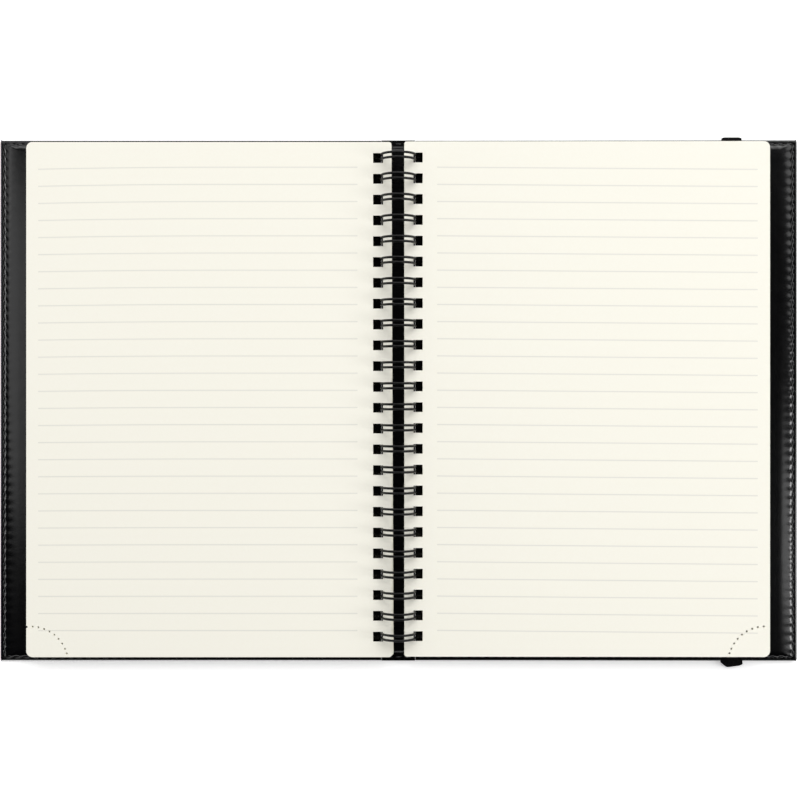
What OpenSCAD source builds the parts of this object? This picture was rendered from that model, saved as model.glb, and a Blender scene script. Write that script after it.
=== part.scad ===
// Open A5 notebook, bound with a twin-loop wire in a stitched leatherette cover.
// It lies open on its back: X runs across the two pages, Y up the page and Z up,
// with the origin on the table in the middle of the spine.

/* [Pages] */
// Width of a sheet, from its bound edge to its fore-edge
page_w = 148.5; // [120:0.5:190]
// Height of a sheet
page_h = 210; // [150:0.5:297]
// Thickness of the closed sheets on each side
stack_t = 4.65; // [4:0.05:7]
// Number of steps in which the sheets of one side follow the curve of the wire
stack_steps = 8; // [4:1:12]
// Radius of a sheet's outer corners
fore_corner_r = 2.5; // [0.5:0.1:6]
// Radius of a sheet's corners beside the spine
bound_corner_r = 1; // [0.3:0.1:2]
// How far the left-hand sheets have slid down along the wire
left_slip = 0.4; // [0:0.05:0.45]
// How far the right-hand sheets have slid down along the wire
right_slip = 0.2; // [0:0.05:0.45]
// Gap between a page stack and the lining under it
rest_gap = 0.1; // [0.05:0.05:0.4]
// Gap between each page stack and the middle plane when the book is closed
middle_gap = 0.1; // [0.05:0.05:0.5]

/* [Punching] */
// Distance between neighbouring holes, three to the inch
hole_pitch = 8.467; // [8:0.001:13]
// Width of a hole, across the spine
hole_w = 3.8; // [3.2:0.1:5]
// Height of a hole, along the spine
hole_h = 4; // [4:0.1:5]
// Paper left between a hole and the bound edge
hole_margin = 3.7; // [3:0.1:4.2]
// Least paper left between the end of a sheet and its first hole's centre
hole_end = 5; // [4:0.5:9]
// How far up the page the row of holes lies from the middle of the sheet
punch_rise = 1.1; // [0:0.1:2]

/* [Tear-off corner] */
// Radius of the dotted arc across a sheet's lower outer corner
tear_r = 14.95; // [8:0.05:25]
// Number of small holes in the arc
tear_holes = 10; // [5:1:16]
// Diameter of these holes
tear_d = 0.8; // [0.5:0.05:1.2]
// Angle between neighbouring holes
tear_step = 9.2; // [6:0.1:10]
// Angle of the first hole from the vertical, towards the spine
tear_start = 76; // [60:1:80]
// Distance of the arc's centre below the sheet
tear_drop = 2.5; // [0:0.1:4]
// Distance of the arc's centre in from the fore-edge on the left-hand sheets
left_tear_inset = 1.6; // [1:0.1:5]
// Distance of the arc's centre in from the fore-edge on the right-hand sheets
right_tear_inset = 2.6; // [1:0.1:5]

/* [Wire] */
// Diameter of the wire
wire_d = 1; // [0.7:0.05:1.3]
// Distance between the two wires of a loop
loop_gap = 2; // [1.6:0.1:2]
// Radius in which a loop turns into the straight back wire
root_bend_r = 0.9; // [0.7:0.05:1.4]
// Gap between the tips of the closed loops and the back wire
tip_gap = 0.2; // [0.1:0.05:0.6]
// Length of the cut ends of the back wire
wire_end = 1.2; // [0.5:0.1:3]
// Gap between the wire and the sheets' holes or the closed cover
wire_play = 0.15; // [0.1:0.05:0.3]
// Gap under the wire, above the skin of the spine
wire_rest_gap = 0.1; // [0.05:0.05:0.4]
// How far up the page the wire is fixed from the middle of the cover
wire_rise = 1.7; // [0:0.1:2]

/* [Cover] */
// Cover beyond the fore-edge of the pages
fore_margin = 12.8; // [8:0.1:20]
// Cover beyond the pages at head and tail
head_margin = 2; // [1:0.1:6]
// Radius of the cover's corners
cover_corner_r = 1; // [0.5:0.1:2]
// Thickness of the outer leatherette
skin_t = 0.8; // [0.5:0.05:1.4]
// Thickness of the board
board_t = 2; // [1.6:0.1:3]
// Thickness of the lining
lining_t = 0.6; // [0.4:0.05:1]
// Width of the flat sewn edge
flange_w = 2.6; // [2.2:0.1:4]
// Width of the rounded shoulder between the sewn edge and the board
shoulder_w = 2.2; // [1.5:0.1:3]
// Height of the line about which a cover opens
hinge_z = 2.7; // [2.2:0.1:3.2]
// Gap between the spine and each cover, in the bending leatherette
hinge_gap = 0.1; // [0.05:0.05:0.3]
// Board left off beyond what clears the wire
gutter_extra = 1.2; // [0.5:0.1:3]
// Gap round the board under the lining
board_fit = 0.1; // [0.05:0.05:0.2]

/* [Spine channel] */
// Gap between the wire and the strip of lining that holds it down
strip_gap = 0.35; // [0.2:0.05:0.6]
// Gap beside the wire in each slot
slot_play = 0.2; // [0.15:0.05:0.3]
// Lining left outside the slots
slot_rim = 0.2; // [0.2:0.1:0.6]
// Width of the slope beside the channel
slope_w = 1; // [0.8:0.1:1.4]
// Width of the glued edge beside the channel
glue_w = 0.6; // [0.5:0.1:1.5]

/* [Stitching] */
// Distance from the cover's edge to the seam
seam_inset = 2.1; // [1.4:0.1:2.2]
// Length of one stitch and its gap
stitch_pitch = 3.6; // [3:0.1:5]
// Length of the thread seen in one stitch
stitch_len = 2.6; // [1.8:0.1:2.7]
// Width of the thread
stitch_w = 0.6; // [0.4:0.05:0.7]
// Height of the thread above the lining
stitch_t = 0.25; // [0.15:0.05:0.4]

/* [Elastic band] */
// Width of the band
band_w = 8.5; // [6:0.5:12]
// Thickness of the band
band_t = 0.8; // [0.5:0.05:1.2]
// Distance from the middle of the band to the fore-edge of the cover
band_inset = 26.7; // [15:0.1:40]
// Length of the band's end inside the seam
band_end = 3.7; // [3:0.1:4.5]
// Distance that the band's fold stands off the cover's edge
band_slack = 0.3; // [0.2:0.05:1.5]
// Gap round the band where it enters the lining
band_fit = 0.1; // [0.05:0.05:0.3]

/* [Hidden] */
$fn = 48;
curve_steps = 6;
leather_black = "#1a1a1d";
lining_black = "#26262a";
board_grey = "#8a8278";
wire_black = "#111113";
thread_black = "#2e2e33";
elastic_black = "#151517";
paper_cream = "#f4f2e6";

// Heights through the cover, from the table up
flange_z = skin_t + lining_t;
board_z = skin_t + board_t;
cover_z = board_z + lining_t;
page_z = cover_z + rest_gap;

// The wire stands on the spine. Its axis lies at the top of the pages, or higher where
// the sheets need a larger wire to keep their bound edges apart.
sheet_edge_gap = 0.1;
margin_reach = hole_margin + sheet_edge_gap;
wire_room = page_z - skin_t - wire_rest_gap - wire_d - wire_play;
rise_for_margin = (pow(margin_reach, 2) - pow(wire_room, 2)) / (2 * wire_room);
axis_rise = max(stack_t + middle_gap, rise_for_margin);
axis_z = page_z + axis_rise;
wire_out_r = axis_z - skin_t - wire_rest_gap;
wire_in_r = wire_out_r - wire_d;
wire_mid_r = wire_out_r - wire_d / 2;

// Where the loops leave the back wire and where their tips end, as angles from the
// bottom of the ring
tip_swell = 0.02;
tip_lap = 0.8;
back_wire_x = (wire_d + tip_gap) / 2;
function reach_angle(r, bend) = asin(back_wire_x / norm([r, bend])) + atan(bend / r);
root_angle = reach_angle(wire_mid_r, root_bend_r);
tip_angle = reach_angle(wire_mid_r, loop_gap / 2);
loop_angle = 360 - root_angle - tip_angle;

// Channel of the spine lining, with the slots that the loops come through
channel_z = skin_t + wire_rest_gap + wire_d + strip_gap;
channel_top = channel_z + lining_t;
strip_half = sqrt(pow(wire_in_r, 2) - pow(axis_z - channel_z, 2)) - wire_play;
slot_out = sqrt(pow(wire_out_r, 2) - pow(axis_z - channel_top, 2)) + wire_play;
slot_h = loop_gap + wire_d + 2 * slot_play;
channel_half = slot_out + slot_rim;
channel_foot = channel_half + slope_w;
spine_half = channel_foot + glue_w;

// Height of the cover and of its boards, and as many loops as the sheets and the channel
// between the ends of the boards take
cover_h = page_h + 2 * head_margin;
board_end = flange_w + shoulder_w;
board_half_h = cover_h / 2 - board_end;
loop_reach = loop_gap / 2 + root_bend_r + wire_end;
row_half = min(page_h / 2 - hole_end - punch_rise, board_half_h - wire_rise - loop_reach);
hole_count = floor(2 * row_half / hole_pitch) + 1;

// Plan of one cover, with x measured from the middle of the spine
leaf_x = spine_half + hinge_gap;
hinge_x = wire_out_r + wire_play + flange_z - hinge_z;
closed_x = hinge_x - (cover_z - hinge_z);
clear_z = sqrt(max(0, pow(wire_out_r + 2 * wire_play, 2) - pow(closed_x, 2)));
board_x = hinge_x - hinge_z + axis_z + clear_z + gutter_extra;
top_sheet_x = hole_x(0) - hole_margin;
cover_half_w = top_sheet_x + page_w + fore_margin;
board_fore_x = cover_half_w - board_end;

// Elastic band, under the back cover, which it lifts by its own thickness
band_x = cover_half_w - band_inset;
band_tilt = asin(band_t / (band_x - band_w / 2 - hinge_x));
band_fold_r = skin_t / 2;

// Inner side of a sheet's holes at a depth below the wire's axis, in whole micrometres
function hole_x(depth) =
  round(1000 * sqrt(pow(wire_in_r - wire_play, 2) - pow(depth, 2))) / 1000;

// Distance of loop i, or of its holes, from the middle of the row
function loop_y(i) = (i - (hole_count - 1) / 2) * hole_pitch;

// Half cosine from point a to point b, as the leatherette bends over an edge
function bend_curve(a, b) = [
  for (i = [0:curve_steps])
    let (u = i / curve_steps)
      [a.x + (b.x - a.x) * u, a.y + (b.y - a.y) * (1 - cos(180 * u)) / 2]
];

// Plan of a cover or a sheet from x0 to x1, with its own radius at each side's corners
module plan_outline(x0, x1, h, r0, r1) {
  translate([x0 + r0, -h / 2]) square([x1 - x0 - r0 - r1, h]);
  translate([x0, -h / 2 + r0]) square([r0, h - 2 * r0]);
  translate([x1 - r1, -h / 2 + r1]) square([r1, h - 2 * r1]);
  for (s = [-1, 1]) {
    translate([x0 + r0, s * (h / 2 - r0)]) circle(r0);
    translate([x1 - r1, s * (h / 2 - r1)]) circle(r1);
  }
}

// Extrudes a profile drawn in x and z along the page
module along_page(length)
  rotate([90, 0, 0]) linear_extrude(length, center = true) children();

// Extrudes a profile drawn in y and z from x0 to x1, across the page
module across_page(x0, x1)
  translate([x0, 0, 0]) rotate([90, 0, 90]) linear_extrude(x1 - x0) children();

// Profile of the lining along the page: flat at both ends, raised in the middle
module end_profile(half, foot, top, z_foot, z_top, z_base)
  polygon(concat(
    [[-half, z_base], [-half, z_foot]],
    bend_curve([-foot, z_foot], [-top, z_top]),
    bend_curve([top, z_top], [foot, z_foot]),
    [[half, z_foot], [half, z_base]]
  ));

// The wire's round section swept through a number of degrees
module wire_arc(r, degrees, d = wire_d)
  rotate_extrude(angle = degrees) translate([r, 0]) circle(d = d);

// One twin loop about the Z axis, with its root at the X axis. Its pressed tip is a hair
// thicker than the wire, and the two wires end inside it.
module twin_loop() {
  for (s = [-1, 1]) {
    translate([0, 0, s * loop_gap / 2]) wire_arc(wire_mid_r, loop_angle + tip_lap);
    translate([wire_mid_r, 0, s * (loop_gap / 2 + root_bend_r)])
      rotate([0, -90, 0]) rotate([0, 0, s > 0 ? 180 : -90]) wire_arc(root_bend_r, 90);
  }
  rotate([0, 0, loop_angle]) translate([wire_mid_r, 0, 0]) rotate([0, -90, 0])
    wire_arc(loop_gap / 2, 180, wire_d + tip_swell);
}

// Straight piece of the back wire that starts where a loop's root bend ends
module back_wire(length)
  translate([wire_mid_r, -root_bend_r, loop_gap / 2 + root_bend_r])
    cylinder(d = wire_d, h = length);

module wire_binding()
  color(wire_black)
    translate([0, wire_rise, axis_z])
      rotate([-90, 90 + root_angle, 0])
        for (i = [0:hole_count - 1])
          translate([0, 0, loop_y(i)]) {
            twin_loop();
            if (i < hole_count - 1) back_wire(hole_pitch - loop_gap - 2 * root_bend_r);
            else back_wire(wire_end);
            if (i == 0) mirror([0, 0, 1]) back_wire(wire_end);
          }

module spine_skin()
  color(leather_black)
    translate([-spine_half, -cover_h / 2, 0]) cube([2 * spine_half, cover_h, skin_t]);

// Lining of the spine: the raised strip, less the hollow that holds the back of the wire
// and the slots that its loops come through
module spine_lining()
  color(lining_black)
    difference() {
      intersection() {
        along_page(cover_h)
          end_profile(spine_half, channel_foot, channel_half, flange_z, channel_top, skin_t);
        across_page(-spine_half, spine_half)
          end_profile(cover_h / 2, board_half_h + shoulder_w, board_half_h, flange_z,
            channel_top, skin_t);
      }
      intersection() {
        along_page(cover_h)
          polygon(concat(
            bend_curve([-channel_foot + lining_t / 2, 0], [-channel_half, channel_z]),
            bend_curve([channel_half, channel_z], [channel_foot - lining_t / 2, 0])
          ));
        across_page(-spine_half, spine_half)
          polygon(concat(
            bend_curve([-board_half_h - shoulder_w + lining_t / 2, 0],
              [-board_half_h, channel_z]),
            bend_curve([board_half_h, channel_z],
              [board_half_h + shoulder_w - lining_t / 2, 0])
          ));
      }
      for (i = [0:hole_count - 1])
        for (s = [-1, 1])
          translate([s * (strip_half + slot_out) / 2, wire_rise + loop_y(i), channel_top])
            cube([slot_out - strip_half, slot_h, 3 * lining_t], center = true);
    }

module leaf_skin()
  linear_extrude(skin_t)
    difference() {
      plan_outline(leaf_x - cover_corner_r, cover_half_w, cover_h, cover_corner_r,
        cover_corner_r);
      translate([leaf_x - 2 * cover_corner_r, -cover_h])
        square([2 * cover_corner_r, 2 * cover_h]);
    }

module leaf_board()
  translate([board_x, -board_half_h, skin_t])
    cube([board_fore_x - board_x, 2 * board_half_h, board_t]);

module leaf_lining()
  difference() {
    intersection() {
      along_page(cover_h)
        polygon(concat(
          [[leaf_x, skin_t], [leaf_x, flange_z]],
          bend_curve([board_x - shoulder_w, flange_z], [board_x, cover_z]),
          bend_curve([board_fore_x, cover_z], [board_fore_x + shoulder_w, flange_z]),
          [[cover_half_w, flange_z], [cover_half_w, skin_t]]
        ));
      across_page(0, cover_half_w)
        end_profile(cover_h / 2, board_half_h + shoulder_w, board_half_h, flange_z, cover_z,
          skin_t);
      linear_extrude(cover_z)
        plan_outline(leaf_x - 2 * cover_corner_r, cover_half_w, cover_h, cover_corner_r,
          cover_corner_r);
    }
    intersection() {
      along_page(cover_h)
        polygon(concat(
          [[board_x - shoulder_w + lining_t, 0]],
          bend_curve([board_x - shoulder_w + lining_t, skin_t],
            [board_x - board_fit, board_z + board_fit]),
          bend_curve([board_fore_x + board_fit, board_z + board_fit],
            [board_fore_x + shoulder_w - lining_t, skin_t]),
          [[board_fore_x + shoulder_w - lining_t, 0]]
        ));
      across_page(0, cover_half_w)
        polygon(concat(
          [[-board_half_h - shoulder_w + lining_t, 0]],
          bend_curve([-board_half_h - shoulder_w + lining_t, skin_t],
            [-board_half_h - board_fit, board_z + board_fit]),
          bend_curve([board_half_h + board_fit, board_z + board_fit],
            [board_half_h + shoulder_w - lining_t, skin_t]),
          [[board_half_h + shoulder_w - lining_t, 0]]
        ));
    }
  }

// Stitches from point a to point b of the seam, as many as fit at the stitch pitch.
// Those that cross the band lie on it.
module stitch_row(a, b, over_band = false) {
  length = norm(b - a);
  count = floor(length / stitch_pitch);
  for (i = [0:count - 1]) {
    p = a + (b - a) * (i + 0.5) * stitch_pitch / length;
    on_band = over_band && abs(p.x - band_x) < (band_w + stitch_len) / 2;
    translate([p.x, p.y, (on_band ? skin_t + band_t : flange_z) + stitch_t / 2])
      rotate([0, 0, atan2((b - a).y, (b - a).x)])
        cube([stitch_len, stitch_w, stitch_t], center = true);
  }
}

module leaf_stitching(over_band) {
  x = cover_half_w - seam_inset;
  y = cover_h / 2 - seam_inset;
  stitch_row([x, -y], [x, y]);
  for (s = [-1, 1]) stitch_row([x, s * y], [leaf_x, s * y], over_band);
}

module spine_stitching()
  color(thread_black)
    for (s = [-1, 1])
      translate([0, s * (cover_h / 2 - seam_inset), 0])
        stitch_row([-1.5 * stitch_pitch, 0], [1.5 * stitch_pitch, 0]);

module front_skin() color(leather_black) mirror([1, 0, 0]) leaf_skin();
module front_board() color(board_grey) mirror([1, 0, 0]) leaf_board();
module front_lining() color(lining_black) mirror([1, 0, 0]) leaf_lining();
module front_stitching() color(thread_black) mirror([1, 0, 0]) leaf_stitching(false);

// The back cover lies on the elastic band, so it tilts a little about its hinge line
module on_band(x, z)
  translate([x, 0, z]) rotate([0, -band_tilt, 0]) translate([-x, 0, -z]) children();

module back_skin() color(leather_black) on_band(hinge_x, hinge_z) leaf_skin();
module back_board() color(board_grey) on_band(hinge_x, hinge_z) leaf_board();
module back_stitching() color(thread_black) on_band(hinge_x, hinge_z) leaf_stitching(true);

module back_lining()
  color(lining_black)
    on_band(hinge_x, hinge_z)
      difference() {
        leaf_lining();
        for (s = [-1, 1])
          translate([band_x, s * (cover_h / 2), skin_t])
            cube([band_w + 2 * band_fit, 2 * (band_end + band_fit), 2 * (band_t + band_fit)],
              center = true);
      }

// The band runs under the cover, round both edges and into the seam above the skin
module elastic_band()
  color(elastic_black)
    on_band(hinge_x, hinge_z)
      across_page(band_x - band_w / 2, band_x + band_w / 2) {
        fold_y = cover_h / 2 + band_slack;
        translate([-fold_y, -band_t]) square([2 * fold_y, band_t]);
        for (s = [-1, 1]) {
          intersection() {
            translate([s * fold_y, band_fold_r])
              difference() {
                circle(band_fold_r + band_t);
                circle(band_fold_r);
              }
            translate([s * (fold_y + band_fold_r + band_t), band_fold_r])
              square(2 * (band_fold_r + band_t), center = true);
          }
          translate([s * (fold_y - (band_end + band_slack) / 2), skin_t + band_t / 2])
            square([band_end + band_slack, band_t], center = true);
        }
      }

// One step of a page stack: sheets between two depths below the wire's axis
module sheet_step(depth_top, depth_bottom, tear_inset) {
  hole = hole_x(depth_bottom);
  x0 = hole - hole_margin;
  x1 = x0 + page_w;
  translate([0, 0, axis_z - depth_bottom])
    linear_extrude(depth_bottom - depth_top)
      difference() {
        plan_outline(x0, x1, page_h, bound_corner_r, fore_corner_r);
        for (i = [0:hole_count - 1])
          translate([hole, punch_rise + loop_y(i) - hole_h / 2]) square([hole_w, hole_h]);
        for (i = [0:tear_holes - 1])
          translate([x1 - tear_inset, -page_h / 2 - tear_drop])
            rotate(90 + tear_start - i * tear_step)
              translate([tear_r, 0]) circle(d = tear_d);
      }
}

// The sheets of one side, hung on the wire by their holes
module page_stack(tear_inset, slip)
  translate([0, wire_rise - punch_rise - slip, 0])
    for (i = [0:stack_steps - 1])
      sheet_step(axis_rise - stack_t + i * stack_t / stack_steps,
        axis_rise - stack_t + (i + 1) * stack_t / stack_steps, tear_inset);

module left_pages()
  color(paper_cream) mirror([1, 0, 0]) page_stack(left_tear_inset, left_slip);

module right_pages()
  color(paper_cream) on_band(0, axis_z) page_stack(right_tear_inset, right_slip);

spine_skin();
spine_lining();
wire_binding();
spine_stitching();
front_skin();
front_board();
front_lining();
front_stitching();
back_skin();
back_board();
back_lining();
back_stitching();
elastic_band();
left_pages();
right_pages();
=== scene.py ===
import math
import random

import bpy
from mathutils import Matrix, Vector


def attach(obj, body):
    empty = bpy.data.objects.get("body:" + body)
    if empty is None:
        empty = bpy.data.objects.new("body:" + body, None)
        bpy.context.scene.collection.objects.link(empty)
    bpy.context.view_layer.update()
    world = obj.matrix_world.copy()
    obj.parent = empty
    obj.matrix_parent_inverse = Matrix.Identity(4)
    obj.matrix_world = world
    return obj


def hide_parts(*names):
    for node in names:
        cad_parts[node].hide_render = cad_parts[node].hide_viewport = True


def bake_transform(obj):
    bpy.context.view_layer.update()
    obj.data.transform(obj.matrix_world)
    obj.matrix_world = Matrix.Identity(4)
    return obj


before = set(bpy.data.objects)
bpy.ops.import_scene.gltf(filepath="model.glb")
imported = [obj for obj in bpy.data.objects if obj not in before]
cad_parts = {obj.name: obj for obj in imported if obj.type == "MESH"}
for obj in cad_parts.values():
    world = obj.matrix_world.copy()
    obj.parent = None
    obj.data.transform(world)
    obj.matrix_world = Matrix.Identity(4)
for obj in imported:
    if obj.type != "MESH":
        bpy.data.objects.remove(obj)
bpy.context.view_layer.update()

# ---- Camera ----
# The notebook is seen from straight above, 600 mm over the table, through a lens whose
# field just holds the open cover.
bpy.ops.object.camera_add(location=(0.0007, 0.0002, 0.60), rotation=(0, 0, 0))
camera = bpy.context.object
camera.name = "overhead_camera"
camera.data.sensor_width = 36
camera.data.lens = 65.47
bpy.context.scene.camera = camera
bpy.context.scene.view_settings.view_transform = "Standard"


# ---- Table and backdrop ----
# A wide sheet of matt white paper under the notebook, which is only the studio. It glows
# for the camera and in mirrors, more so far out, and so stays white to the horizon.
def tone(hex_colour):
    """An sRGB colour such as #f4f2e6 as the linear colour that a shader takes."""
    parts = [int(hex_colour[i:i + 2], 16) / 255 for i in (1, 3, 5)]
    return [c / 12.92 if c <= 0.04045 else ((c + 0.055) / 1.055) ** 2.4 for c in parts] + [1]


def add_node(material, kind, settings=None, inputs=None):
    """Adds a node. settings are its own properties, and inputs its sockets' values or links."""
    node = material.node_tree.nodes.new(kind)
    for key, value in (settings or {}).items():
        setattr(node, key, value)
    for key, value in (inputs or {}).items():
        if isinstance(value, bpy.types.NodeSocket):
            material.node_tree.links.new(value, node.inputs[key])
        else:
            node.inputs[key].default_value = value
    return node


def new_material(name, base, roughness):
    """A material with one Principled shader. Returns it and the shader."""
    material = bpy.data.materials.new(name)
    material.use_nodes = True
    shader = material.node_tree.nodes["Principled BSDF"]
    shader.inputs["Base Color"].default_value = tone(base)
    shader.inputs["Roughness"].default_value = roughness
    return material, shader


def dress_node(node, material):
    """Gives one of the CAD's own nodes a material."""
    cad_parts[node].data.materials.clear()
    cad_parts[node].data.materials.append(material)


def join(objects, name):
    """Joins objects into the first of them and names it."""
    bpy.ops.object.select_all(action="DESELECT")
    for item in objects:
        item.select_set(True)
    bpy.context.view_layer.objects.active = objects[0]
    bpy.ops.object.join()
    joined = bpy.context.object
    joined.name = name
    return joined


# Uncoated white paper. It sends back nearly all light and shows no gloss.
backdrop_paper, backdrop_shader = new_material("white_backdrop_paper", "#f7f7f7", 1.0)
backdrop_shader.inputs["Specular IOR Level"].default_value = 0.0
ray = add_node(backdrop_paper, "ShaderNodeLightPath")
seen = add_node(backdrop_paper, "ShaderNodeMath", {"operation": "MAXIMUM"},
                {0: ray.outputs["Is Camera Ray"], 1: ray.outputs["Is Glossy Ray"]})
seen = add_node(backdrop_paper, "ShaderNodeMath", {"operation": "MAXIMUM"},
                {0: seen.outputs[0], 1: ray.outputs["Is Transmission Ray"]})
backdrop_place = add_node(backdrop_paper, "ShaderNodeTexCoord")
from_middle = add_node(backdrop_paper, "ShaderNodeVectorMath", {"operation": "LENGTH"},
                       {0: backdrop_place.outputs["Object"]})
glow = add_node(backdrop_paper, "ShaderNodeMapRange", {},
                {"Value": from_middle.outputs["Value"], "From Min": 0.5, "From Max": 2.0,
                 "To Min": 0.42, "To Max": 1.0})
lift = add_node(backdrop_paper, "ShaderNodeMath", {"operation": "MULTIPLY"},
                {0: seen.outputs[0], 1: glow.outputs[0]})
backdrop_paper.node_tree.links.new(lift.outputs[0], backdrop_shader.inputs["Emission Strength"])
backdrop_shader.inputs["Emission Color"].default_value = (1, 1, 1, 1)

bpy.ops.mesh.primitive_plane_add(size=12, location=(0, 0, -0.0001))
table_top = bpy.context.object
table_top.name = "table_top"
table_top.data.materials.append(backdrop_paper)

# ---- Cover boards ----
# Grey board cut to the size of each cover, glued between the leatherette and its lining.
# It is the CAD's own, and lies hidden.
grey_board, board_shader = new_material("grey_board", "#8a8278", 0.92)
board_place = add_node(grey_board, "ShaderNodeTexCoord")
board_fibre = add_node(grey_board, "ShaderNodeTexNoise", {},
                       {"Vector": board_place.outputs["Object"], "Scale": 1 / 0.0012,
                        "Detail": 4.0})
board_tint = add_node(grey_board, "ShaderNodeMix", {"data_type": "RGBA"},
                      {0: board_fibre.outputs["Fac"], 6: tone("#7b7469"), 7: tone("#988f83")})
grey_board.node_tree.links.new(board_tint.outputs[2], board_shader.inputs["Base Color"])
for node in ("front_board", "back_board"):
    dress_node(node, grey_board)

# ---- Leatherette ----
# Woven cloth coated with black PVC and embossed with a fine pebble grain of about 0.7 mm.
# It gives soft highlights on its folds and stays near black elsewhere. The spine's skin and
# lining are the CAD's own.
leatherette, leather_shader = new_material("embossed_black_leatherette", "#030304", 0.18)
leather_shader.inputs["IOR"].default_value = 1.45
leather_place = add_node(leatherette, "ShaderNodeTexCoord")
pebble = add_node(leatherette, "ShaderNodeTexVoronoi", {"feature": "SMOOTH_F1"},
                  {"Vector": leather_place.outputs["Object"], "Scale": 1 / 0.0007,
                   "Smoothness": 0.6})
crease = add_node(leatherette, "ShaderNodeTexNoise", {},
                  {"Vector": leather_place.outputs["Object"], "Scale": 1 / 0.004,
                   "Detail": 3.0})
grain_bump = add_node(leatherette, "ShaderNodeBump", {},
                      {"Height": pebble.outputs["Distance"], "Strength": 0.05,
                       "Distance": 0.0001})
crease_bump = add_node(leatherette, "ShaderNodeBump", {},
                       {"Height": crease.outputs["Fac"], "Strength": 0.05,
                        "Distance": 0.0004, "Normal": grain_bump.outputs["Normal"]})
leatherette.node_tree.links.new(crease_bump.outputs["Normal"], leather_shader.inputs["Normal"])
wear = add_node(leatherette, "ShaderNodeMapRange", {},
                {"Value": crease.outputs["Fac"], "To Min": 0.14, "To Max": 0.22})
leatherette.node_tree.links.new(wear.outputs[0], leather_shader.inputs["Roughness"])
for node in ("spine_skin", "spine_lining"):
    dress_node(node, leatherette)

# ---- Cover skins and linings ----
# Each cover is two sheets of leatherette sewn together round the board. The needle pulls
# the soft edge in at each stitch, so the lining puffs out between them. Lengths are in mm.
MM = 0.001
LEAF_X, HINGE_END, BOARD_X, COVER_FORE = 7.036, 9.0, 18.3, 163.8
COVER_HALF, CORNER = 107.0, 1.0
FORE_PUFF, END_PUFF = 8.6, 5.8
FLAT_X, FLAT_Y = COVER_FORE - FORE_PUFF, COVER_HALF - END_PUFF
SEAM, STITCH = 1.5, 3.6
FLANGE_Z, SEWN_Z, COVER_Z = 1.4, 1.6, 3.4
RISE_X, LIP_Z, LIP_H, GROOVE_W = 15.9, 0.8, 0.6, 0.4
LINING_EDGE, SKIN_EDGE, SKIN_EDGE_H = 0.7, 0.35, 0.5
HINGE_X, HINGE_Z, TILT = 6.2, 2.7, math.radians(0.3619)
row_x = COVER_FORE - SEAM
row_y = COVER_HALF - SEAM
fore_count = math.floor(2 * row_y / STITCH)
side_count = math.floor((row_x - LEAF_X) / STITCH)


def smooth(t):
    """A soft step from 0 to 1."""
    t = min(max(t, 0.0), 1.0)
    return t * t * (3 - 2 * t)


def seam_place(x, y):
    """Distance in from the sewn edge, and how near the closest stitch's middle is, 0 to 1."""
    from_fore, from_end = COVER_FORE - x, COVER_HALF - abs(y)
    if from_fore < from_end:
        phase = (y + row_y) / STITCH - 0.5
    else:
        phase = (row_x - x) / STITCH - 0.5
    return min(from_fore, from_end), 0.5 + 0.5 * math.cos(2 * math.pi * phase)


def puffed(inward, width, power, pull):
    """How far the lining has risen from the seam to the flat over the board, 0 to 1."""
    start = SEAM + 0.2 + 0.35 * pull
    t = min(max((inward - start) / (width - start), 0.0), 1.0)
    return (1 - (1 - t) ** power) ** (1 / power)


def groove(inward):
    """How deep the thread pulls the leatherette in at this distance from the edge, 0 to 1."""
    return math.exp(-((inward - SEAM) / GROOVE_W) ** 2)


def lining_height(x, y):
    """The top of the lining: a rounded lip, the seam's groove and the rise over the board."""
    inward, pull = seam_place(x, y)
    edge = min(inward / LINING_EDGE, 1.0)
    z = LIP_Z + LIP_H * math.sqrt(1 - (1 - edge) ** 2)
    z -= (0.06 + 0.14 * pull) * groove(inward)
    rise = min(puffed(COVER_FORE - x, FORE_PUFF, 2.4, pull),
               puffed(COVER_HALF - abs(y), END_PUFF, 4.0, pull))
    rise = (COVER_Z - SEWN_Z) * rise + (SEWN_Z - FLANGE_Z) * edge
    return z + rise * smooth((x - RISE_X) / (BOARD_X - RISE_X))


def skin_height(x, y):
    """The underside of the skin, rounded at its edge and drawn up at the seam."""
    inward, pull = seam_place(x, y)
    edge = min(inward / SKIN_EDGE, 1.0)
    z = SKIN_EDGE_H * (1 - math.sqrt(1 - (1 - edge) ** 2))
    return z + (0.12 + 0.2 * pull) * groove(inward)


def grid_strip(x0, x1, nx, y0, y1, ny, height):
    """A grid at height(x, y), with the outer corner of the cover rounded off."""
    bpy.ops.object.select_all(action="DESELECT")
    bpy.ops.mesh.primitive_grid_add(x_subdivisions=nx, y_subdivisions=ny, size=1)
    strip = bpy.context.object
    for v in strip.data.vertices:
        x = x0 + (v.co.x + 0.5) * (x1 - x0)
        y = y0 + (v.co.y + 0.5) * (y1 - y0)
        z = height(x, y)
        a, b = x - (COVER_FORE - CORNER), abs(y) - (COVER_HALF - CORNER)
        if a > 0 and b > 0:
            rounded = max(a, b) / math.hypot(a, b)
            x += a * (rounded - 1)
            y += math.copysign(b * (rounded - 1), y)
        v.co = Vector((x, y, z)) * MM
    return strip


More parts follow.
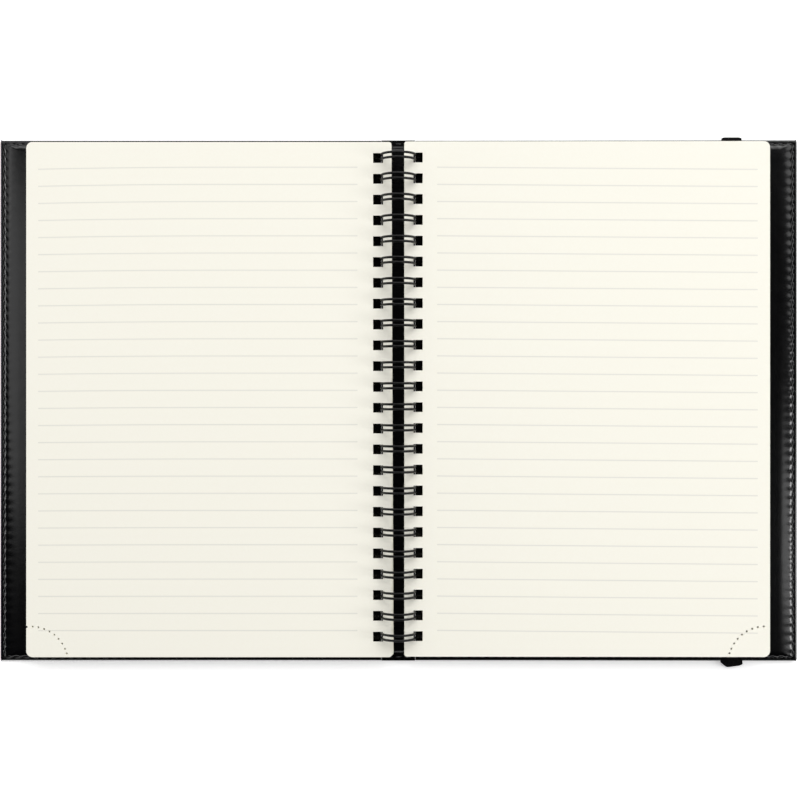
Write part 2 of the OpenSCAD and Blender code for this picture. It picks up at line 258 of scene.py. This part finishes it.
def sewn_sheet(name, height, detail, thick, upward):
    """One sheet of a cover: strips along its sewn edges, and a flat middle over the board."""
    xs = [LEAF_X, HINGE_END, BOARD_X, FLAT_X, COVER_FORE]
    ys = [-COVER_HALF, -FLAT_Y, FLAT_Y, COVER_HALF]
    across = [12, 15, int(228 * detail), 26]
    along = [18, int(337 * detail), 18]
    strips = []
    for i in range(4):
        for j in range(3):
            if (i, j) != (2, 1):
                rows = 24 if j == 1 and i < 2 else along[j]
                strips.append(grid_strip(xs[i], xs[i + 1], across[i], ys[j], ys[j + 1], rows,
                                         height))
    sheet = join(strips, name)
    bpy.ops.object.mode_set(mode="EDIT")
    bpy.ops.mesh.select_all(action="SELECT")
    bpy.ops.mesh.remove_doubles(threshold=2e-6)
    bpy.ops.mesh.select_all(action="DESELECT")
    bpy.ops.object.mode_set(mode="OBJECT")
    # The open edges round the flat middle are found and filled with one face.
    counts = [0] * len(sheet.data.edges)
    for face in sheet.data.polygons:
        for loop in face.loop_indices:
            counts[sheet.data.loops[loop].edge_index] += 1
    near = 1e-5
    for edge in sheet.data.edges:
        ends = [sheet.data.vertices[i].co for i in edge.vertices]
        edge.select = counts[edge.index] == 1 and all(
            BOARD_X * MM - near < p.x < FLAT_X * MM + near
            and abs(p.y) < FLAT_Y * MM + near
            for p in ends)
    bpy.ops.object.mode_set(mode="EDIT")
    bpy.ops.mesh.select_mode(type="EDGE")
    bpy.ops.mesh.edge_face_add()
    bpy.ops.mesh.select_all(action="SELECT")
    bpy.ops.mesh.normals_make_consistent(inside=False)
    bpy.ops.object.mode_set(mode="OBJECT")
    up = sheet.data.polygons[0].normal.z > 0
    if up != upward:
        bpy.ops.object.mode_set(mode="EDIT")
        bpy.ops.mesh.flip_normals()
        bpy.ops.object.mode_set(mode="OBJECT")
    bpy.ops.object.modifier_add(type="SOLIDIFY")
    sheet.modifiers[-1].thickness = thick * MM
    sheet.modifiers[-1].offset = -1
    bpy.ops.object.modifier_apply(modifier=sheet.modifiers[-1].name)
    bpy.ops.object.shade_smooth_by_angle(angle=math.radians(50))
    sheet.data.materials.clear()
    return sheet


def lay_on_side(piece, side):
    """Puts a piece made for the right-hand cover on the side where it belongs."""
    if side == "front":
        piece.data.transform(Matrix.Scale(-1, 4, (1, 0, 0)))
        piece.data.flip_normals()
    else:
        hinge = Matrix.Translation((HINGE_X * MM, 0, HINGE_Z * MM))
        piece.data.transform(hinge @ Matrix.Rotation(-TILT, 4, "Y") @ hinge.inverted())
    return piece


for side in ("front", "back"):
    for part, height, detail, thick, upward in (("skin", skin_height, 0.5, 0.5, False),
                                                ("lining", lining_height, 1.0, 0.36, True)):
        sheet = lay_on_side(sewn_sheet(f"{side}_cover_{part}", height, detail, thick, upward),
                            side)
        sheet.data.materials.append(leatherette)
        s = -1 if side == "front" else 1
        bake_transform(sheet)
        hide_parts(f"{side}_{part}")

# ---- Stitching ----
# Black polyester thread, sewn through both sheets 1.5 mm from the edge. Each stitch dives
# into the leatherette at both ends.
thread, thread_shader = new_material("polyester_sewing_thread", "#1c1c1f", 0.28)
thread_shader.inputs["Sheen Weight"].default_value = 0.1
HALF_LONG, HALF_WIDE, HALF_HIGH, DIVE = 1.45, 0.24, 0.2, 0.42
OVER_Z, UNDER_Z, SPINE_THREAD_Z, MIDDLE_Z = 1.46, 0.3, 1.5, 0.7

bpy.ops.object.select_all(action="DESELECT")
bpy.ops.mesh.primitive_uv_sphere_add(segments=8, ring_count=7, radius=1)
stitch = bpy.context.object
stitch.name = "one_stitch"
for v in stitch.data.vertices:
    along, up, out = v.co.z, v.co.x, v.co.y
    v.co = Vector((HALF_LONG * along, HALF_WIDE * out, HALF_HIGH * up - DIVE * along ** 4)) * MM
bpy.ops.object.shade_smooth()


def sew(name, places, side, node, body):
    """A row of stitches. places are (x, y, z, quarter turn) in millimetres. Those under the
    cover are turned over, so that they dive upwards."""
    copies = []
    for x, y, z, turned in places:
        copy = stitch.copy()
        copy.data = stitch.data.copy()
        bpy.context.collection.objects.link(copy)
        turn = Matrix.Rotation(math.pi / 2 if turned else 0, 4, "Z")
        if z < MIDDLE_Z:
            turn = turn @ Matrix.Rotation(math.pi, 4, "X")
        copy.data.transform(Matrix.Translation(Vector((x, y, z)) * MM) @ turn)
        copies.append(copy)
    row = join(copies, name)
    row.data.materials.append(thread)
    if side:
        lay_on_side(row, side)
    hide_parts(node)
    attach(row, body)


for side in ("front", "back"):
    places = []
    for z in (OVER_Z, UNDER_Z):
        for i in range(fore_count):
            places.append((row_x, -row_y + (i + 0.5) * STITCH, z, True))
        for s in (-1, 1):
            for i in range(side_count):
                places.append((row_x - (i + 0.5) * STITCH, s * row_y, z, False))
    sew(f"{side}_cover_stitches", places, side, f"{side}_stitching", f"{side}_cover")
places = [(i * STITCH, s * row_y, SPINE_THREAD_Z, False) for i in (-1, 0, 1) for s in (-1, 1)]
sew("spine_stitches", places, None, "spine_stitching", "spine")
bpy.data.objects.remove(stitch)

# ---- Wire binding ----
# Steel wire 1 mm thick with a black nylon coat, bent into 24 double loops and pressed shut.
# It is the CAD's own, and the coat's slight unevenness is a bump in its material.
wire_coat, wire_shader = new_material("black_nylon_coated_wire", "#030304", 0.32)
wire_shader.inputs["Specular IOR Level"].default_value = 0.28
wire_place = add_node(wire_coat, "ShaderNodeTexCoord")
wire_ripple = add_node(wire_coat, "ShaderNodeTexNoise", {},
                       {"Vector": wire_place.outputs["Object"], "Scale": 1 / 0.0006,
                        "Detail": 2.0})
wire_bump = add_node(wire_coat, "ShaderNodeBump", {},
                     {"Height": wire_ripple.outputs["Fac"], "Strength": 0.1,
                      "Distance": 0.00005})
wire_coat.node_tree.links.new(wire_bump.outputs["Normal"], wire_shader.inputs["Normal"])
dress_node("wire_binding", wire_coat)

# ---- Sheets ----
# 46 sheets of 0.1 mm writing paper on each side, ruled on both faces at 7 mm, punched
# with 24 square holes and perforated across the lower outer corner.
PAGE_W, PAGE_H, SHEET_T, SHEET_COUNT = 148.5, 210.0, 4.65 / 46, 46
AXIS_Z, WIRE_IN, HOLE_MARGIN = 8.25, 6.2, 3.7
HOLE_PITCH, HOLE_W, HOLE_H, HOLE_COUNT = 8.467, 3.8, 4.0, 24
WIRE_RISE, PUNCH_RISE, HOLE_SPREAD = 1.7, 1.1, 0.0083
STACK_TOP, SHEET_GAP, FOOT_TRIM, FOOT_BAND = 8.15, 0.008, 0.4, 2.6
OUTER_CORNER, INNER_CORNER = 2.5, 1.0
ARC_R, ARC_IN, ARC_BELOW, DOT_R = 14.95, 1.9, 2.15, 0.46
DOT_FIRST, DOT_STEP = 166, 9.2
RULE_COUNT, RULE_HALF = 28, 0.24


def ruled_paper(name, first, last, x_from, x_to, skew, lift_from, lift_by):
    """Cream writing paper with 28 grey lines. skew turns the lines, and lift_by lowers their
    outer ends at the head, as on the real sheets."""
    paper, shader = new_material(name, "#f6f3e8", 0.86)
    shader.inputs["Specular IOR Level"].default_value = 0.25
    place = add_node(paper, "ShaderNodeTexCoord")
    axes = add_node(paper, "ShaderNodeSeparateXYZ", {}, {0: place.outputs["Object"]})
    x, y = axes.outputs["X"], axes.outputs["Y"]

    def maths(operation, a, b=0.0, c=0.0):
        return add_node(paper, "ShaderNodeMath", {"operation": operation},
                        {0: a, 1: b, 2: c}).outputs[0]

    tilted = maths("SUBTRACT", y, maths("MULTIPLY", maths("SUBTRACT", x, x_from * MM), skew))
    outer = maths("MAXIMUM", maths("MULTIPLY", maths("SUBTRACT", lift_from * MM, x), 1 / 0.075),
                  0.0)
    head = maths("MULTIPLY_ADD", y, 1 / 0.19, 0.5)
    raised = maths("MULTIPLY", maths("MULTIPLY", maths("MULTIPLY", outer, outer), head),
                   lift_by * MM)
    level = maths("ADD", tilted, raised)
    pitch = (first - last) / (RULE_COUNT - 1) * MM
    from_line = maths("PINGPONG", maths("SUBTRACT", level, last * MM), pitch / 2)
    line = maths("LESS_THAN", from_line, RULE_HALF * MM)
    inside_y = maths("MULTIPLY", maths("GREATER_THAN", level, (last - 1) * MM),
                     maths("LESS_THAN", level, (first + 1) * MM))
    inside_x = maths("MULTIPLY", maths("GREATER_THAN", x, min(x_from, x_to) * MM),
                     maths("LESS_THAN", x, max(x_from, x_to) * MM))
    line = maths("MULTIPLY", maths("MULTIPLY", line, inside_y), inside_x)
    facing = add_node(paper, "ShaderNodeSeparateXYZ", {}, {0: place.outputs["Normal"]})
    flat = maths("GREATER_THAN", maths("ABSOLUTE", facing.outputs[2]), 0.7)
    line = maths("MULTIPLY", line, flat)
    fibre = add_node(paper, "ShaderNodeTexNoise", {},
                     {"Vector": place.outputs["Object"], "Scale": 1 / 0.0008, "Detail": 5.0})
    stock = add_node(paper, "ShaderNodeMix", {"data_type": "RGBA"},
                     {0: fibre.outputs["Fac"], 6: tone("#f8f5e8"), 7: tone("#fbf9ee")})
    ruled = add_node(paper, "ShaderNodeMix", {"data_type": "RGBA"},
                     {0: line, 6: stock.outputs[2], 7: tone("#e8e6dc")})
    paper.node_tree.links.new(ruled.outputs[2], shader.inputs["Base Color"])
    tooth = add_node(paper, "ShaderNodeBump", {},
                     {"Height": fibre.outputs["Fac"], "Strength": 0.08, "Distance": 0.00005})
    paper.node_tree.links.new(tooth.outputs["Normal"], shader.inputs["Normal"])
    return paper


def punched_sheet(dots):
    """One sheet, with its bound edge at x 0, punched and perforated."""
    bpy.ops.object.select_all(action="DESELECT")
    bpy.ops.mesh.primitive_cube_add(size=1, location=(PAGE_W / 2 * MM, 0, 0),
                                    scale=(PAGE_W * MM, PAGE_H * MM,
                                           (SHEET_T - SHEET_GAP) * MM))
    sheet = bpy.context.object
    bpy.ops.object.transform_apply()
    for outer, radius in ((True, OUTER_CORNER), (False, INNER_CORNER)):
        bpy.ops.object.mode_set(mode="EDIT")
        bpy.ops.mesh.select_mode(type="EDGE")
        bpy.ops.mesh.select_all(action="DESELECT")
        bpy.ops.object.mode_set(mode="OBJECT")
        for edge in sheet.data.edges:
            a, b = (sheet.data.vertices[i].co for i in edge.vertices)
            edge.select = (abs(a.x - b.x) + abs(a.y - b.y) < 1e-7
                           and (a.x > PAGE_W / 2 * MM) == outer
                           and abs(abs(a.y) - PAGE_H / 2 * MM) < 1e-6)
        bpy.ops.object.mode_set(mode="EDIT")
        bpy.ops.mesh.bevel(offset=radius * MM, segments=6, affect="EDGES")
        bpy.ops.object.mode_set(mode="OBJECT")
    bpy.ops.object.select_all(action="DESELECT")
    pins = []
    for i in range(HOLE_COUNT):
        y = PUNCH_RISE + (i - (HOLE_COUNT - 1) / 2) * HOLE_PITCH
        bpy.ops.mesh.primitive_cube_add(size=1,
                                        location=((HOLE_MARGIN + HOLE_W / 2) * MM, y * MM, 0),
                                        scale=(HOLE_W * MM, HOLE_H * MM, 0.001))
        pins.append(bpy.context.object)
    for i in range(dots):
        angle = math.radians(DOT_FIRST - i * DOT_STEP)
        bpy.ops.mesh.primitive_cylinder_add(
            vertices=8, radius=DOT_R * MM, depth=0.001,
            location=((PAGE_W - ARC_IN + ARC_R * math.cos(angle)) * MM,
                      (-PAGE_H / 2 - ARC_BELOW + ARC_R * math.sin(angle)) * MM, 0))
        pins.append(bpy.context.object)
    punch = join(pins, "punch")
    bpy.ops.object.transform_apply()
    bpy.ops.object.select_all(action="DESELECT")
    sheet.select_set(True)
    bpy.context.view_layer.objects.active = sheet
    bpy.ops.object.modifier_add(type="BOOLEAN")
    sheet.modifiers[-1].object = punch
    sheet.modifiers[-1].operation = "DIFFERENCE"
    sheet.modifiers[-1].solver = "EXACT"
    bpy.ops.object.modifier_apply(modifier=sheet.modifiers[-1].name)
    bpy.data.objects.remove(punch)
    return sheet


left_paper = ruled_paper("ruled_cream_paper_left", 94.9, -93.6, -146.5, -16.6, 0.0, -72,
                         0.85)
right_paper = ruled_paper("ruled_cream_paper_right", 94.9, -93.5, 15.8, 146.0, -0.0078,
                          -900, 0.0)
# slip is how far the sheets have slid down the wire, out how far they lie from it, and fan
# how far the lowest sheet's foot stands in.
for side, dots, slip, out, fan, paper in (("left", 10, 0.42, 0.35, 0.9, left_paper),
                                          ("right", 9, 0.2, 0.0, -0.5, right_paper)):
    shift = random.Random(7 if side == "left" else 11)
    blank = punched_sheet(dots)
    stack = []
    for i in range(SHEET_COUNT):
        depth = AXIS_Z - STACK_TOP + (i + 1) * SHEET_T
        loose = 0 if i == 0 else 1
        x0 = WIRE_IN - HOLE_MARGIN + out - loose * shift.uniform(0.0, 0.1)
        y0 = WIRE_RISE - PUNCH_RISE - slip + loose * shift.uniform(-0.04, 0.04)
        turn = fan * i / (SHEET_COUNT - 1)
        copy = blank.copy()
        copy.data = blank.data.copy()
        bpy.context.collection.objects.link(copy)
        # The holes' inner edge follows the wire's curve, their far edges spread a little down
        # the stack, and the foot is trimmed.
        for v in copy.data.vertices:
            inner = abs(v.co.x - HOLE_MARGIN * MM) < 1e-6
            outer = abs(v.co.x - (HOLE_MARGIN + HOLE_W) * MM) < 1e-6
            if inner or outer:
                row = round((v.co.y / MM - PUNCH_RISE) / HOLE_PITCH - 0.5) + 0.5
                hole_y = PUNCH_RISE + row * HOLE_PITCH
                if (v.co.y - hole_y * MM) * hole_y > 0:
                    v.co.y += HOLE_SPREAD * hole_y * i / (SHEET_COUNT - 1) * MM
            elif v.co.y < (FOOT_BAND - PAGE_H / 2) * MM:
                v.co.y += FOOT_TRIM * MM
            if inner:
                v.co.x = (math.sqrt(WIRE_IN ** 2 - depth ** 2) - x0) * MM
            elif not outer:
                v.co.x -= turn * (0.5 - v.co.y / (PAGE_H * MM)) * MM
        copy.data.transform(Matrix.Translation(
            Vector((x0, y0, AXIS_Z - depth + SHEET_T / 2)) * MM))
        stack.append(copy)
    bpy.data.objects.remove(blank)
    sheets = join(stack, f"{side}_sheets")
    if side == "left":
        sheets.data.transform(Matrix.Scale(-1, 4, (1, 0, 0)))
        sheets.data.flip_normals()
    else:
        axis = Matrix.Translation((0, 0, AXIS_Z * MM))
        sheets.data.transform(axis @ Matrix.Rotation(-TILT, 4, "Y") @ axis.inverted())
    sheets.data.materials.append(paper)
    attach(sheets, f"{side}_pages")
    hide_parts(f"{side}_pages")

# ---- Elastic band ----
# A woven black band 8.5 mm wide. It runs under the back cover, turns round its head and
# tail, and is sewn into the seam. At the tail it is pulled a little askew, and it is 9 %
# narrower at the head.
RIB_PITCH = 0.9
elastic, elastic_shader = new_material("woven_black_elastic", "#030304", 0.8)
elastic_shader.inputs["Specular IOR Level"].default_value = 0.15
elastic_place = add_node(elastic, "ShaderNodeTexCoord")
rib = add_node(elastic, "ShaderNodeTexWave", {"wave_type": "BANDS", "bands_direction": "X"},
               {"Vector": elastic_place.outputs["Object"], "Scale": 6.2832 / 0.02 / RIB_PITCH})
rib_bump = add_node(elastic, "ShaderNodeBump", {},
                    {"Height": rib.outputs["Fac"], "Strength": 0.4, "Distance": 0.0001})
elastic.node_tree.links.new(rib_bump.outputs["Normal"], elastic_shader.inputs["Normal"])

BAND_X, BAND_W, BAND_T, BAND_END = 137.1, 8.5, 0.8, 3.7
FOLD_R, FOLD_Z, BAND_OVER_Z, BAND_UNDER_Z = 0.8, 0.4, 1.2, -0.4
BAND_STAGES = (("in", range(5), 4), ("fold", range(1, 12), 12), ("under", range(31), 30),
               ("fold_head", range(1, 12), 12), ("out", range(5), 4))
band_path = [(stage, t / count) for stage, steps, count in BAND_STAGES for t in steps]


def band_point(stage, t, across):
    """The middle of the band's thickness at a step of its path. across is -1 to 1."""
    pull = 1.5 * smooth((across + 1) / 0.65) - 0.62 * max(across + 0.35, 0.0)
    rounded = 0.35 * smooth((abs(across) - 0.8) / 0.2)
    tail_slack = 0.1 + pull - rounded
    head_slack = 0.1 - rounded
    if stage in ("in", "fold"):
        slack, s = tail_slack, -1
    else:
        slack, s = head_slack, 1
    if stage == "in":
        return (s * (COVER_HALF - BAND_END + (BAND_END + slack) * t), BAND_OVER_Z)
    if stage in ("fold", "fold_head"):
        a = -s * (math.pi / 2 - math.pi * t)
        return (s * (COVER_HALF + slack + FOLD_R * math.cos(a)), FOLD_Z + FOLD_R * math.sin(a))
    if stage == "under":
        y0, y1 = -(COVER_HALF + tail_slack), COVER_HALF + head_slack
        return (y0 + (y1 - y0) * t, BAND_UNDER_Z)
    return (s * (COVER_HALF + slack - (BAND_END + slack) * t), BAND_OVER_Z)


bpy.ops.object.select_all(action="DESELECT")
bpy.ops.mesh.primitive_grid_add(x_subdivisions=16, y_subdivisions=len(band_path) - 1, size=1)
band = bpy.context.object
band.name = "elastic_strap"
for v in band.data.vertices:
    step = round((v.co.y + 0.5) * (len(band_path) - 1))
    across = 2 * v.co.x
    stage, t = band_path[step]
    y, z = band_point(stage, t, across)
    towards_head = {"in": 0, "fold": 0, "under": t}.get(stage, 1)
    v.co = Vector((BAND_X + across * BAND_W / 2 * (1 - 0.09 * towards_head), y, z)) * MM
bpy.ops.object.modifier_add(type="SOLIDIFY")
band.modifiers[-1].thickness = (BAND_T - 0.04) * MM
band.modifiers[-1].offset = 0
bpy.ops.object.modifier_apply(modifier=band.modifiers[-1].name)
bpy.ops.object.mode_set(mode="EDIT")
bpy.ops.mesh.select_all(action="SELECT")
bpy.ops.mesh.normals_make_consistent(inside=False)
bpy.ops.object.mode_set(mode="OBJECT")
bpy.ops.object.shade_smooth_by_angle(angle=math.radians(40))
band.data.materials.append(elastic)
lay_on_side(band, "back")
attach(band, "back_cover")
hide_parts("elastic_band")

# ---- Light ----
# Two far softboxes light the paper from the right and the left of the head, and a near one
# stands at the head. The panel and the windows at the sides give the leatherette along the
# fore-edges its grey sheen.
world = bpy.context.scene.world or bpy.data.worlds.new("studio")
bpy.context.scene.world = world
world.use_nodes = True
world.node_tree.nodes["Background"].inputs["Color"].default_value = (1, 1, 1, 1)
world_ray = add_node(world, "ShaderNodeLightPath")
world_level = add_node(world, "ShaderNodeMath", {"operation": "MAXIMUM"},
                       {0: world_ray.outputs["Is Camera Ray"], 1: 0.02})
world.node_tree.links.new(world_level.outputs[0],
                          world.node_tree.nodes["Background"].inputs["Strength"])


def far_light(name, azimuth, height, spread, level):
    """A distant soft light. level is what it gives a level surface, where 1 is full white."""
    bpy.ops.object.light_add(type="SUN")
    lamp = bpy.context.object
    lamp.name = name
    a, h = math.radians(azimuth), math.radians(height)
    source = Vector((math.cos(a) * math.cos(h), math.sin(a) * math.cos(h), math.sin(h)))
    lamp.rotation_euler = source.to_track_quat("Z", "Y").to_euler()
    lamp.data.angle = math.radians(spread)
    lamp.data.energy = level * math.pi / math.sin(h)


far_light("right_softbox", 40, 38, 50, 0.265)
far_light("left_softbox", 140, 38, 50, 0.12)


def panel_light(name, place, target, width, height, power):
    """A rectangular lamp that faces target, with its width level."""
    bpy.ops.object.light_add(type="AREA", location=place)
    lamp = bpy.context.object
    lamp.name = name
    lamp.data.shape = "RECTANGLE"
    lamp.data.size, lamp.data.size_y = width, height
    lamp.data.energy = power
    lamp.rotation_euler = (Vector(target) - Vector(place)).to_track_quat("-Z", "Y").to_euler()


panel_light("head_softbox", (0.1, 0.9, 1.05), (0, 0, 0), 1.5, 0.9, 11.2)
panel_light("left_panel", (-0.71, 0.1, 1.15), (-0.157, 0, 0), 0.44, 0.62, 1.35)
panel_light("left_window", (-1.1, 0.08, 0.18), (-0.16, 0.03, 0), 0.4, 0.12, 1.8)
panel_light("right_window", (1.0, -0.165, 0.45), (0.16, -0.065, 0), 0.17, 0.41, 2.9)
panel_light("upper_right_window", (0.69, -0.165, 0.79), (0.16, -0.065, 0), 0.17, 0.5, 0.8)
